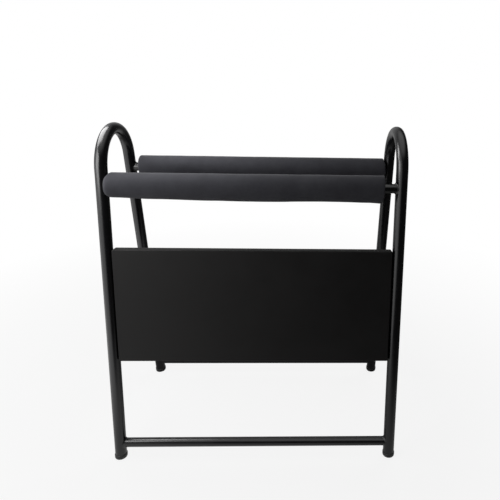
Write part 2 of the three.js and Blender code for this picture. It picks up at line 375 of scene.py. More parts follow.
def place(piece: Piece, matrix: Matrix) -> Piece:
    """Moves a piece by a matrix and sets its new place into its mesh.

    Args:
        piece: the piece, modelled at the origin.
        matrix: where it goes.

    Returns:
        The same piece.
    """
    piece.matrix_world = matrix
    take_up(piece)
    bpy.ops.object.transform_apply(location=True, rotation=True, scale=True)
    return piece


def copy_of(piece: Piece, name: str) -> Piece:
    """Copies a piece together with its mesh.

    Args:
        piece: the pattern.
        name: the copy's name.

    Returns:
        The copy.
    """
    twin = bpy.data.objects.new(name, piece.data.copy())
    twin.data.name = name
    bpy.context.collection.objects.link(twin)
    return twin


def smooth(piece: Piece, degrees: float = 35) -> None:
    """Shades a piece smooth except across edges sharper than an angle."""
    take_up(piece)
    bpy.ops.object.shade_smooth_by_angle(angle=math.radians(degrees))


def dress(piece: Piece, slot: Slot, finishes: Sequence[Material], node: str | None = None) -> None:
    """Gives a finished piece its materials, its body and the node that it stands for, and reports it.

    Args:
        piece: the finished piece.
        slot: the slot that it takes its finish from.
        finishes: its materials, in the order of its material indices.
        node: the CAD node that it replaces, or None for trim that no node stands for.
    """
    piece.data.materials.clear()
    for material in finishes:
        piece.data.materials.append(material)
    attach(piece, BODY)
    if node:
        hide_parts(node)
    LOG.info("%s: %d faces, %s", piece.name, len(piece.data.polygons), slot.value)


# Finishes


def linear(code: str) -> tuple[float, float, float, float]:
    """Turns an sRGB hex colour to linear light.

    Args:
        code: the colour as #RRGGBB.

    Returns:
        Red, green, blue and an alpha of one.
    """
    channels = [int(code[start : start + 2], 16) / 255 for start in (1, 3, 5)]
    red, green, blue = (c / 12.92 if c <= 0.04045 else ((c + 0.055) / 1.055) ** 2.4 for c in channels)
    return (red, green, blue, 1.0)


def emptied(owner: Material | bpy.types.World) -> Tree:
    """Turns on the nodes of a material or a world and clears them away.

    Args:
        owner: the material or the world.

    Returns:
        Its empty tree.
    """
    owner.use_nodes = True
    owner.node_tree.nodes.clear()
    return owner.node_tree


def add_node(tree: Tree, kind: str, inputs: Inputs | None = None, **settings: object) -> bpy.types.Node:
    """Adds a node with its settings, values and links.

    Args:
        tree: the node tree.
        kind: the node's type.
        inputs: for each input, the output socket that feeds it or the value that it holds.
        **settings: the node's own properties.

    Returns:
        The node.
    """
    node = tree.nodes.new(kind)
    for key, value in settings.items():
        setattr(node, key, value)
    for key, value in (inputs or {}).items():
        if isinstance(value, Socket):
            tree.links.new(value, node.inputs[key])
        else:
            node.inputs[key].default_value = value
    return node


def per_metre(size_mm: float) -> float:
    """Scale of a pattern whose features have one size in millimetres."""
    return 1 / (size_mm * MM)


@dataclass(frozen=True)
class Relief:
    """One layer of fine relief, by the size of its grains and its depth in millimetres."""

    grain_mm: float
    depth_mm: float
    cellular: bool = False
    detail: float = 2.0

    def height(self, tree: Tree, spot: Socket) -> Socket:
        """Adds the pattern of this layer.

        Args:
            tree: the material's tree.
            spot: the coordinates it is drawn on.

        Returns:
            The socket that gives its height.
        """
        inputs = {"Vector": spot, "Scale": per_metre(self.grain_mm)}
        if self.cellular:
            return add_node(tree, "ShaderNodeTexVoronoi", inputs).outputs["Distance"]
        return add_node(tree, "ShaderNodeTexNoise", {**inputs, "Detail": self.detail}).outputs["Fac"]


@dataclass(frozen=True)
class Finish:
    """What every finish has: two tones that drift into each other, a roughness span and layers of relief.

    The drift is a cloud pattern with its own detail and grit. Its span is the part of its values over which
    the first tone turns into the second. What is fixed is the same all over the surface.
    """

    name: str
    tones: Tones
    drift_mm: float
    roughness: Pair
    relief: tuple[Relief, ...]
    fixed: Fixed
    drift_detail: float = 5.0
    drift_grit: float = 0.6
    drift_span: Pair = (0.3, 0.7)

    def material(self) -> Material:
        """Builds the finish as a node material.

        Returns:
            The material.
        """
        material = bpy.data.materials.new(self.name)
        tree = emptied(material)
        spot = add_node(tree, "ShaderNodeTexCoord").outputs["Object"]
        cloud = {"Vector": spot, "Scale": per_metre(self.drift_mm)}
        grit = {"Detail": self.drift_detail, "Roughness": self.drift_grit}
        drift = add_node(tree, "ShaderNodeTexNoise", {**cloud, **grit}).outputs["Fac"]
        spread = dict(zip(RANGE_INPUTS, (drift, *self.drift_span, 0.0, 1.0)))
        share = add_node(tree, "ShaderNodeMapRange", spread).outputs["Result"]
        polish = dict(zip(RANGE_INPUTS, (share, 0.0, 1.0, *self.roughness)))
        rough = add_node(tree, "ShaderNodeMapRange", polish).outputs["Result"]
        tones = {"Factor": share, "A": linear(self.tones[0]), "B": linear(self.tones[1])}
        colour = add_node(tree, "ShaderNodeMix", tones, data_type="RGBA").outputs["Result"]
        surface = {"Base Color": self.marked(tree, spot, colour), "Roughness": rough}
        inputs = {**surface, "Normal": self.normal(tree, spot), **dict(self.fixed)}
        shader = add_node(tree, "ShaderNodeBsdfPrincipled", inputs)
        add_node(tree, "ShaderNodeOutputMaterial", {"Surface": shader.outputs["BSDF"]})
        return material

    def normal(self, tree: Tree, spot: Socket) -> Socket:
        """Stacks the layers of relief, the coarsest first.

        Args:
            tree: the material's tree.
            spot: the coordinates they are drawn on.

        Returns:
            The socket with the bent normal.
        """
        bent: Inputs = {}
        for layer in self.relief:
            height = layer.height(tree, spot)
            inputs = {"Height": height, "Distance": layer.depth_mm * MM, "Strength": 1.0, **bent}
            bent = {"Normal": add_node(tree, "ShaderNodeBump", inputs).outputs["Normal"]}
        return bent["Normal"]

    def marked(self, tree: Tree, spot: Socket, colour: Socket) -> Socket:
        """Draws a finish's own marks or painted shade over its drifting colour. The plain finish has none.
        """
        return colour


@dataclass(frozen=True)
class PowderCoat(Finish):
    """Polyester powder coat, sprayed on steel and baked: satin black, with a faint orange peel."""

    name: str = "satin_black_powder_coat"
    tones: Tones = ("#08080A", "#0F0F11")
    drift_mm: float = 40
    roughness: Pair = (0.2, 0.27)
    relief: tuple[Relief, ...] = (Relief(2.2, 0.022), Relief(0.5, 0.005))
    fixed: Fixed = (("IOR", 1.5), ("Specular IOR Level", 0.5))


@dataclass(frozen=True)
class NitrileFoam(Finish):
    """Nitrile rubber foam, extruded as a tube: matte charcoal with a bluish cast.

    Its closed cells scatter the light and leave it a little fuzzy at grazing angles. Real ones are about
    0.3 mm across, too fine to show, so they are drawn coarser, with painted shade in each one's hollow.
    """

    name: str = "charcoal_nitrile_foam"
    tones: Tones = ("#35353A", "#414146")
    drift_mm: float = 30
    roughness: Pair = (0.88, 0.97)
    relief: tuple[Relief, ...] = (Relief(9, 0.25), Relief(1.1, 0.12, cellular=True), Relief(0.4, 0.04))
    fixed: Fixed = (("Sheen Weight", 0.07), ("Sheen Roughness", 0.5), ("Specular IOR Level", 0.25))
    # size of the cells, and the painted shade in each one's hollow: its tone, reach and share
    cell_mm: float = 1.1
    cell_shade_tone: str = "#26272B"
    cell_reach: float = 0.35
    cell_shade_share: float = 0.5

    def marked(self, tree: Tree, spot: Socket, colour: Socket) -> Socket:
        """Paints shade into the hollow of each cell.

        Args:
            tree: the material's tree.
            spot: the coordinates they are drawn on.
            colour: the colour so far.

        Returns:
            The colour with painted shade in its cells.
        """
        # painted shade: each cell darkens towards the shade tone about its middle, its hollow
        grid = {"Vector": spot, "Scale": per_metre(self.cell_mm)}
        cells = add_node(tree, "ShaderNodeTexVoronoi", grid).outputs["Distance"]
        fade = dict(zip(RANGE_INPUTS, (cells, 0.0, self.cell_reach, self.cell_shade_share, 0.0)))
        hollow = add_node(tree, "ShaderNodeMapRange", fade).outputs["Result"]
        tones = {"Factor": hollow, "A": colour, "B": linear(self.cell_shade_tone)}
        return add_node(tree, "ShaderNodeMix", tones, data_type="RGBA").outputs["Result"]


@dataclass(frozen=True)
class BoardMelamine(Finish):
    """Melamine-faced board: near-black paper pressed with a pearl plate for a low, gritty sheen."""

    name: str = "black_melamine"
    tones: Tones = ("#100F0F", "#151414")
    drift_mm: float = 60
    roughness: Pair = (0.50, 0.58)
    relief: tuple[Relief, ...] = (Relief(3.0, 0.02), Relief(0.8, 0.012))
    fixed: Fixed = (("IOR", 1.5), ("Specular IOR Level", 0.22))


@dataclass(frozen=True)
class BoardEdging(Finish):
    """Extruded ABS edging glued round the board: a touch smoother than its faces, trimmed flush.

    Its rolled grain is too fine to show, so it is drawn coarser.
    """

    name: str = "black_abs_edging"
    tones: Tones = ("#121212", "#171717")
    drift_mm: float = 25
    roughness: Pair = (0.38, 0.46)
    relief: tuple[Relief, ...] = (Relief(1.4, 0.012),)
    fixed: Fixed = (("IOR", 1.53), ("Specular IOR Level", 0.4))


@dataclass(frozen=True)
class CapPolyethylene(Finish):
    """Moulded low-density polyethylene: soft matte black, waxy, and scuffed where it slides over floors.

    The mould's own grain is about 0.1 mm, too fine to show, so it is drawn coarser.
    """

    name: str = "black_polyethylene"
    tones: Tones = ("#101010", "#1A1A19")
    drift_mm: float = 6
    roughness: Pair = (0.45, 0.62)
    relief: tuple[Relief, ...] = (Relief(1.2, 0.03), Relief(0.3, 0.01))
    fixed: Fixed = (("IOR", 1.51),)


@dataclass(frozen=True)
class ZincPlate(Finish):
    """Bright zinc on pressed steel: pale grey with a bluish cast, cloudy where the bath left it dull.

    The grain of the plating is too fine to show, so it is drawn coarser.
    """

    name: str = "bright_zinc_plate"
    tones: Tones = ("#9CA0A4", "#B9BBB8")
    drift_mm: float = 2.5
    roughness: Pair = (0.24, 0.4)
    relief: tuple[Relief, ...] = (Relief(0.6, 0.01),)
    fixed: Fixed = (("Metallic", 1.0),)


# Sub-assemblies


@dataclass
class SubAssembly:
    """What every sub-assembly starts from: the lines it is drawn on and the finish of its pieces."""

    lines: StandLines
    finish: Material


@dataclass
class EndFrames(SubAssembly):
    """The two inverted U frames: one tube each, up the front leg, over the bend and down the rear leg."""

    segments: int = 72
    bend_steps: int = 60

    def build(self) -> None:
        """Bends and dresses both frames."""
        for side in Side:
            node = f"{side.word}_end_frame"
            dress(self.bent_tube(side, node), Slot.POWDER_COAT, [self.finish], node)

    def bent_tube(self, side: Side, node: str) -> Piece:
        """Draws one tube leg by leg, with its bend spun between them.

        Args:
            side: the end of the stand.
            node: the node whose lower end it keeps.

        Returns:
            The hollow tube.
        """
        lines, across = self.lines, self.lines.leg_axis(side)
        start = lines.extent(node, Face.FRONT).low.z
        foot = lines.plane(Face.FRONT) @ Vector((across, 0, start))
        rise = lines.leg_run - start
        lean, climb = math.sin(lines.splay) * rise, math.cos(lines.splay) * rise
        start_clean()
        bpy.ops.mesh.primitive_circle_add(
            vertices=self.segments,
            radius=lines.tube_radius,
            fill_type="NOTHING",
            location=foot,
            rotation=(-lines.splay, 0, 0),
        )
        piece = named(f"bent_tube_{side.word}")
        with editing(piece):
            draw_out((0, lean, climb))
            bpy.ops.mesh.spin(
                steps=self.bend_steps,
                angle=math.pi - 2 * lines.splay,
                center=(across, 0, lines.arch_centre),
                axis=(1, 0, 0),
            )
            draw_out((0, lean, -climb))
            face_outwards()
        apply_modifier(piece, "SOLIDIFY", thickness=TUBE_WALL, offset=-1)
        smooth(piece)
        return piece


@dataclass
class CrossTubes(SubAssembly):
    """Rails and crossbars: straight hollow tubes whose ends are coped to the round of the legs."""

    cope_clearance: float = 0.1 * MM
    segments: int = 64

    def build(self) -> None:
        """Cuts and dresses the four tubes."""
        for face, node in cross_tubes():
            piece = self.coped_tube(f"{node}_tube", self.lines.extent(node, face))
            dress(place(piece, self.lines.plane(face)), Slot.POWDER_COAT, [self.finish], node)

    def coped_tube(self, name: str, room: Extent) -> Piece:
        """Draws a tube from leg to leg and copes both ends.

        Args:
            name: the piece's name.
            room: the node's own extent in its leg plane.

        Returns:
            The tube in the plane's coordinates.
        """
        start_clean()
        bpy.ops.mesh.primitive_circle_add(
            vertices=self.segments,
            radius=room.size.z / 2,
            fill_type="NOTHING",
            location=(self.lines.leg_axis(Side.LEFT), 0, room.centre.z),
            rotation=(0, math.pi / 2, 0),
        )
        piece = named(name)
        with editing(piece):
            draw_out((self.lines.spacing, 0, 0))
            face_outwards()
        apply_modifier(piece, "SOLIDIFY", thickness=TUBE_WALL, offset=-1)
        cut_away(piece, [self.leg_form(side, room) for side in Side])
        smooth(piece)
        return piece

    def leg_form(self, side: Side, room: Extent) -> Piece:
        """Round form of the leg that a tube's end is coped to.

        Args:
            side: the end of the stand.
            room: the tube's extent, for the form's height.

        Returns:
            The form.
        """
        start_clean()
        bpy.ops.mesh.primitive_cylinder_add(
            vertices=2 * self.segments,
            radius=self.lines.tube_radius + self.cope_clearance,
            depth=2 * room.size.z,
            location=(self.lines.leg_axis(side), 0, room.centre.z),
        )
        return named("cope")


@dataclass
class WeldBeads(SubAssembly):
    """Fillet welds round the ends of the cross tubes: hollow-faced and rippled under the coat."""

    toe: float = 3.0 * MM
    sink: float = 0.12 * MM
    ripple_pitch: float = 1.5 * MM
    ripple_depth: float = 0.1 * MM
    face_share: float = 0.6
    stations: int = 240
    section_points: int = 20
    crease_deg: float = 60

    def build(self) -> None:
        """Lays and dresses the eight beads."""
        for face, node in cross_tubes():
            tube = self.lines.extent(node, face)
            for side in Side:
                piece = self.bead(f"bead_{node}_{side.word}", tube.size.z / 2)
                flip = Matrix.Rotation(math.pi if side is Side.RIGHT else 0, 4, "Z")
                move = Matrix.Translation((self.lines.leg_axis(side), 0, tube.centre.z))
                place(piece, self.lines.plane(face) @ move @ flip)
                dress(piece, Slot.POWDER_COAT, [self.finish], f"weld_{node}_{side.word}")

    def bead(self, name: str, tube_radius: float) -> Piece:
        """Bends a ring to the saddle between a leg at the origin and a cross tube along +X.

        Args:
            name: the piece's name.
            tube_radius: radius of the cross tube.

        Returns:
            The bead.
        """
        middle, wire = tube_radius + self.toe / 2, self.toe / 2
        start_clean()
        bpy.ops.mesh.primitive_torus_add(
            major_segments=self.stations,
            minor_segments=self.section_points,
            major_radius=middle,
            minor_radius=wire,
        )
        piece = named(name)
        for vertex in piece.data.vertices:
            around = math.atan2(vertex.co.y, vertex.co.x)
            out = math.hypot(vertex.co.x, vertex.co.y) - middle
            section = math.atan2(vertex.co.z, out) % math.tau
            vertex.co = self.on_saddle(around, section, tube_radius)
        with editing(piece):
            face_outwards()
        smooth(piece, self.crease_deg)
        return piece

    def on_saddle(self, around: float, section: float, tube_radius: float) -> Vector:
        """Place of one point of the bead.

        Args:
            around: angle round the cross tube.
            section: angle round the bead's own section. The hollow face comes first, then the two walls.
            tube_radius: radius of the cross tube.

        Returns:
            The point, with the leg along Z and the cross tube along +X.
        """
        leg, tube = self.lines.tube_radius - self.sink, tube_radius - self.sink
        turn = math.asin(tube * math.sin(around) / leg)
        height = tube * math.cos(around)
        root = Vector((leg * math.cos(turn), leg * math.sin(turn), height))
        spread = 1 + self.toe / math.hypot(leg * turn, height)
        leg_toe = Vector((leg * math.cos(turn * spread), leg * math.sin(turn * spread), height * spread))
        tube_toe = root + Vector((self.toe, 0, 0))
        share = section / math.tau
        if share > self.face_share:
            wall = 2 * (share - self.face_share) / (1 - self.face_share)
            return tube_toe.lerp(root, wall) if wall < 1 else root.lerp(leg_toe, wall - 1)
        sweep = math.pi / 2 * share / self.face_share
        point = root + (tube_toe - root) * (1 - math.cos(sweep)) + (leg_toe - root) * (1 - math.sin(sweep))
        outward = (point - root).normalized()
        ripple = math.sin(math.tau * around * tube / self.ripple_pitch) + 1
        return point + outward * self.ripple_depth * ripple * math.sin(2 * sweep)


@dataclass
class FootCaps(SubAssembly):
    """Moulded plugs under the legs: a rounded head, a ribbed stem up the tube and a sole cut level.

    A rib rises and falls over its shares of the pitch between two ribs.
    """

    seat_gap: float = 0.3 * MM
    rim_round: float = 3.4 * MM
    rim_steps: int = 8
    shoulder: float = 0.8 * MM
    shoulder_steps: int = 4
    stem_length: float = 15 * MM
    stem_wall: float = 1.6 * MM
    rib_count: int = 3
    rib_height: float = 0.5 * MM
    rib_rise: float = 0.125
    rib_fall: float = 0.5
    sole_depth: float = 0.125 * MM
    segments: int = 72

    def build(self) -> None:
        """Moulds and dresses the four caps."""
        for face in Face:
            for side in Side:
                node = f"foot_cap_{face.word}_{side.word}"
                outer = self.lines.extent(node, face).size.x / 2
                piece = turned(f"cap_{face.word}_{side.word}", self.profile(outer), self.segments)
                move = Matrix.Translation((self.lines.leg_axis(side), 0, 0))
                self.cut_level(place(piece, self.lines.plane(face) @ move))
                smooth(piece)
                dress(piece, Slot.CAP, [self.finish], node)

    def cut_level(self, piece: Piece) -> None:
        """Cuts the sole off level with the floor and presses what is left of its rounding flat.

        Args:
            piece: the leaning cap in its place.
        """
        with editing(piece):
            bpy.ops.mesh.bisect(plane_co=(0, 0, 0), plane_no=(0, 0, 1), use_fill=True, clear_inner=True)
            pick(piece, Part.POINT, lambda point: point.co.z < self.sole_depth)
            bpy.ops.transform.resize(value=(1, 1, 0), center_override=(0, 0, 0))
            face_outwards()

    def profile(self, outer: float) -> Profile:
        """Stations of a cap from the middle of its sole up to the floor of its cup.

        Args:
            outer: radius of the head.

        Returns:
            Radius and height of each ring along the leg.
        """
        sink = outer * math.tan(self.lines.splay)
        head = self.lines.extent("left_end_frame", Face.FRONT).low.z - self.seat_gap
        ribs = self.lines.tube_radius - TUBE_WALL - self.seat_gap
        core = ribs - self.rib_height
        pitch = self.stem_length / (self.rib_count + 1)
        stem = [(core, head)]
        for number in range(1, self.rib_count + 1):
            base = head + number * pitch
            rise, fall = pitch * self.rib_rise, pitch * self.rib_fall
            stem += [(core, base), (ribs, base + rise), (core, base + fall)]
        cup, rim = core - self.stem_wall, head + self.stem_length
        corner = (outer - self.rim_round, self.rim_round - sink)
        neck = (outer - self.shoulder, head - self.shoulder)
        return [
            (0, -sink),
            *rounded(corner, self.rim_round, -90, 0, self.rim_steps),
            (outer, head - self.shoulder),
            *rounded(neck, self.shoulder, 0, 90, self.shoulder_steps)[1:],
            *stem,
            (core, rim),
            (cup, rim),
            (cup, head - self.stem_wall),
            (0, head - self.stem_wall),
        ]


@dataclass
class FoamSleeves(SubAssembly):
    """Foam tubes on the rails: soft rounded ends, an uneven skin, and one end pressed against its leg.

    The sag gives places along the rail and how far the underside hangs there, both in millimetres.
    """

    clearance: float = 0.3 * MM
    cut_round: float = 1.6 * MM
    squeezed_round: float = 5.5 * MM
    seated_round: float = 2.4 * MM
    flare: float = 3.3 * MM
    ring_pitch: float = 4 * MM
    press_reach: float = 9 * MM
    press_bulge: float = 2.4 * MM
    cut_slant: float = 1.4 * MM
    cut_reach: float = 14 * MM
    swell: float = 0.6 * MM
    swell_size: float = 45 * MM
    swell_middle: float = 0.62
    sag: Profile = (
        (-222, -2.2),
        (-150, 0.0),
        (-60, 1.8),
        (20, 2.6),
        (110, 1.2),
        (180, 2.4),
        (204, 3.6),
    )
    round_steps: int = 6
    crease_deg: float = 50
    segments: int = 112

    def build(self) -> None:
        """Forms and dresses both sleeves, the front one squeezed to the left and the rear to the right."""
        ends = {
            Face.FRONT: (Side.LEFT, {Side.LEFT: self.squeezed_round, Side.RIGHT: self.cut_round}),
            Face.REAR: (Side.RIGHT, {Side.LEFT: self.cut_round, Side.RIGHT: self.seated_round}),
        }
        for face, (pressed, rounds) in ends.items():
            piece = place(self.sleeve(face, pressed, rounds), self.lines.plane(face))
            dress(piece, Slot.FOAM, [self.finish], f"{face.word}_foam_sleeve")

    def sleeve(self, face: Face, pressed: Side, rounds: dict[Side, float]) -> Piece:
        """Draws one sleeve ring by ring, then gives it its soft unevenness and its two ends.

        Args:
            face: the leg plane it lies in.
            pressed: the end that bears on a leg.
            rounds: the rounding of each end's outer edge.

        Returns:
            The sleeve in the plane's coordinates.
        """
        name = f"{face.word}_foam"
        room = self.lines.extent(f"{name}_sleeve", face)
        rail = self.lines.extent(f"{face.word}_top_rail", face)
        piece = turned(name, self.profile(room, rail, pressed, rounds), self.segments, ring=True)
        place(piece, Matrix.Translation(room.centre) @ Matrix.Rotation(math.pi / 2, 4, "Y"))
        cloud = bpy.data.textures.new(f"{name}_swell", "CLOUDS")
        cloud.noise_scale = self.swell_size
        swell = {"texture": cloud, "strength": self.swell, "mid_level": self.swell_middle}
        apply_modifier(piece, "DISPLACE", texture_coords="LOCAL", **swell)
        self.press(piece, pressed, room)
        self.slant_cut(piece, pressed, room)
        if face is Face.FRONT:
            self.hang(piece, rail)
        smooth(piece, self.crease_deg)
        return piece

    def profile(self, room: Extent, rail: Extent, pressed: Side, rounds: dict[Side, float]) -> Profile:
        """Stations of a sleeve from the bore at its low end round the outside to the bore at its high end.

        Args:
            room: the node's extent.
            rail: extent of the tube it grips.
            pressed: the end whose bore opens over a weld.
            rounds: the rounding of each end's outer edge.

        Returns:
            Radius and height of each ring.
        """
        half, outer = room.size.x / 2, room.size.z / 2
        bore = rail.size.z / 2 + self.clearance
        mouths = {side: bore + (self.flare if side is pressed else 0) for side in Side}
        low, high = rounds[Side.LEFT], rounds[Side.RIGHT]
        start, end = low - half, half - high
        count = math.ceil((end - start) / self.ring_pitch)
        return [
            (bore, self.flare - half),
            (mouths[Side.LEFT], -half),
            ((mouths[Side.LEFT] + outer - low) / 2, -half),
            *rounded((outer - low, start), low, -90, 0, self.round_steps),
            *[(outer, start + (end - start) * step / count) for step in range(1, count)],
            *rounded((outer - high, end), high, 0, 90, self.round_steps),
            ((mouths[Side.RIGHT] + outer - high) / 2, half),
            (mouths[Side.RIGHT], half),
            (bore, half - self.flare),
        ]

    def press(self, piece: Piece, pressed: Side, room: Extent) -> None:
        """Lets the foam beside the leg bulge a little past the line where the leg stops it.

        Args:
            piece: the sleeve in the plane's coordinates.
            pressed: the end that bears on the leg.
            room: the node's extent.
        """
        end = room.low.x if pressed is Side.LEFT else room.high.x
        leg = self.lines.tube_radius
        for vertex in piece.data.vertices:
            near = max(0, 1 - abs(vertex.co.x - end) / self.press_reach)
            beside = min(1, max(0, (abs(vertex.co.y) - leg / 2) / leg))
            vertex.co.x += pressed.value * self.press_bulge * near * eased(beside)

    def slant_cut(self, piece: Piece, pressed: Side, room: Extent) -> None:
        """Leans the free end a little, as a knife cut by hand does: longer at the top than below.

        Args:
            piece: the sleeve in the plane's coordinates.
            pressed: the other end.
            room: the node's extent.
        """
        end = room.high.x if pressed is Side.LEFT else room.low.x
        for vertex in piece.data.vertices:
            near = max(0, 1 - abs(vertex.co.x - end) / self.cut_reach)
            up = 2 * (vertex.co.z - room.centre.z) / room.size.z
            vertex.co.x -= pressed.value * self.cut_slant * near * up

    def hang(self, piece: Piece, rail: Extent) -> None:
        """Lets the underside hang as loosely as it does at each place along the rail.

        Args:
            piece: the sleeve in the plane's coordinates.
            rail: extent of the tube inside it, which the bore stays round.
        """
        grip, middle = rail.size.z / 2, rail.centre
        for vertex in piece.data.vertices:
            off = math.hypot(vertex.co.y - middle.y, vertex.co.z - middle.z)
            under = max(0, (middle.z - vertex.co.z) / off)
            wall = max(0, min(1, (off - grip) / grip))
            vertex.co.z -= self.sag_at(vertex.co.x / MM) * MM * under * wall

    def sag_at(self, across: float) -> float:
        """How far the underside hangs at one place, with soft steps between the places that are known.

        Args:
            across: the place along the rail in millimetres.

        Returns:
            The drop in millimetres.
        """
        places = self.sag
        if across <= places[0][0]:
            return places[0][1]
        for (start, low), (end, high) in zip(places, places[1:]):
            if across <= end:
                return low + (high - low) * eased((across - start) / (end - start))
        return places[-1][1]


@dataclass
class FrontBoard(SubAssembly):
    """Plain board between the front legs: rounded corners, eased edges, and edging with a fine seam.

    Facing is the least cosine at which a face still counts as looking forwards or backwards.
    """

    edge_finish: Material
    corner: float = 2.5 * MM
    ease: float = 1.1 * MM
    edging: float = 1.4 * MM
    seam: float = 0.12 * MM
    pilot_radius: float = 1.9 * MM
    pilot_depth: float = 11.5 * MM
    corner_steps: int = 6
    ease_steps: int = 3
    pilot_sides: int = 24
    facing: float = 0.99

    def build(self) -> None:
        """Cuts, edges, drills and dresses the board."""
        room = self.lines.extent("front_board", Face.FRONT)
        start_clean()
        bpy.ops.mesh.primitive_cube_add(size=1, location=room.centre, scale=room.size)
        piece = named("board_panel")
        with editing(piece):
            self.round_corners(piece)
            self.ease_rims(piece)
            for face in Face:
                self.cut_seam(piece, face)
        cut_away(piece, [self.pilot(screw, room) for screw in Fixings.names()])
        self.mark_edging(piece, room)
        smooth(piece)
        place(piece, self.lines.plane(Face.FRONT))
        dress(piece, Slot.BOARD, [self.finish, self.edge_finish], "front_board")

    def round_corners(self, piece: Piece) -> None:
        """Rounds the four corners of the outline."""
        pick(piece, Part.EDGE, lambda edge: abs(edge.verts[0].co.y - edge.verts[1].co.y) > self.corner)
        bpy.ops.mesh.bevel(offset=self.corner, segments=self.corner_steps, affect="EDGES")

    def ease_rims(self, piece: Piece) -> None:
        """Eases the edges round the front and the back.

        Args:
            piece: the board being edited.
        """
        pick(piece, Part.FACE, lambda face: abs(face.normal.y) > self.facing)
        bpy.ops.mesh.region_to_loop()
        bpy.ops.mesh.bevel(offset=self.ease, segments=self.ease_steps, affect="EDGES")

    def cut_seam(self, piece: Piece, face: Face) -> None:
        """Presses the fine line between edging and face into one side of the board.

        Args:
            piece: the board being edited.
            face: that side.
        """
        pick(piece, Part.FACE, lambda flat: flat.normal.y * face.value > self.facing)
        bpy.ops.mesh.inset(thickness=self.edging - self.ease)
        for step in (-self.seam, self.seam):
            bpy.ops.mesh.inset(thickness=self.seam)
            bpy.ops.transform.translate(value=(0, face.value * step, 0))

    def pilot(self, screw: str, room: Extent) -> Piece:
        """Drill for one screw.

        Args:
            screw: the screw's place in its node's name.
            room: the board's extent.

        Returns:
            The drill, standing in the board from behind.
        """
        centre = self.lines.extent(f"board_screw_{screw}", Face.FRONT).centre
        start_clean()
        bpy.ops.mesh.primitive_cylinder_add(
            vertices=self.pilot_sides,
            radius=self.pilot_radius,
            depth=2 * self.pilot_depth,
            location=(centre.x, room.high.y, centre.z),
            rotation=(math.pi / 2, 0, 0),
        )
        return named("drill")

    def mark_edging(self, piece: Piece, room: Extent) -> None:
        """Gives the faces outside the seams the edging's material.

        Args:
            piece: the board in the plane's coordinates.
            room: its extent.
        """
        inner = room.size / 2 - Vector((self.edging, 0, self.edging))
        for polygon in piece.data.polygons:
            off = polygon.center - room.centre
            outside = abs(off.x) > inner.x or abs(off.z) > inner.z
            polygon.material_index = 1 if outside else 0


